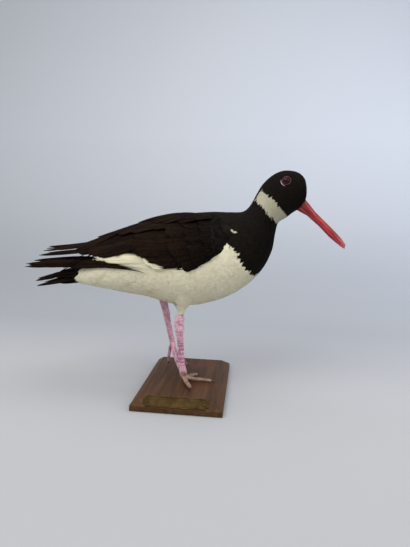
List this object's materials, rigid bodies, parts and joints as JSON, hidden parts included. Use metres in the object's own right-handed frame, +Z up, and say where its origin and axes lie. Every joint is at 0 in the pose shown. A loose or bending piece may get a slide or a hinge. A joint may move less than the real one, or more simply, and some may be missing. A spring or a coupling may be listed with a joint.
{
  "type": "mounted oystercatcher",
  "caption": "Life-size museum mount of a black and white wading bird with a long red bill, standing on a bevelled wooden plinth with a small brass plaque.",
  "frame": {"origin": "centre of the plinth's underside", "axes": "+Z up out of the plinth, +X towards the end of the plinth that the bill points to, +Y towards the bird's left side, away from the plaque"},
  "size_m": [0.387, 0.1501, 0.2659],
  "materials": {
    "wood": "stained and waxed hardwood",
    "brass": "aged, unpolished brass",
    "head_feathers": "short soft black feathers",
    "wing_feathers": "blackish brown flight and covert feathers",
    "tail_feathers": "black tail feathers",
    "belly_feathers": "soft cream white feathers",
    "bill": "painted horn",
    "eye": "glass eye",
    "leg": "painted scaly skin",
    "foot": "dry scaly skin",
    "claw": "dark horn"
  },
  "bodies": {
    "root": {"base_plinth": "wood", "bill_lower": "bill", "bill_upper": "bill", "claw_left_inner": "claw", "claw_left_middle": "claw", "claw_left_outer": "claw", "claw_right_inner": "claw", "claw_right_middle": "claw", "claw_right_outer": "claw", "eye_left": "eye", "eye_right": "eye", "foot_left": "foot", "foot_right": "foot", "head": "head_feathers", "leg_left": "leg", "leg_right": "leg", "neck": "head_feathers", "plaque": "brass", "plaque_pin_left": "brass", "plaque_pin_right": "brass", "tail": "tail_feathers", "thigh_right": "belly_feathers", "torso": "belly_feathers", "wing_left": "wing_feathers", "wing_right": "wing_feathers"}
  },
  "joints": []
}
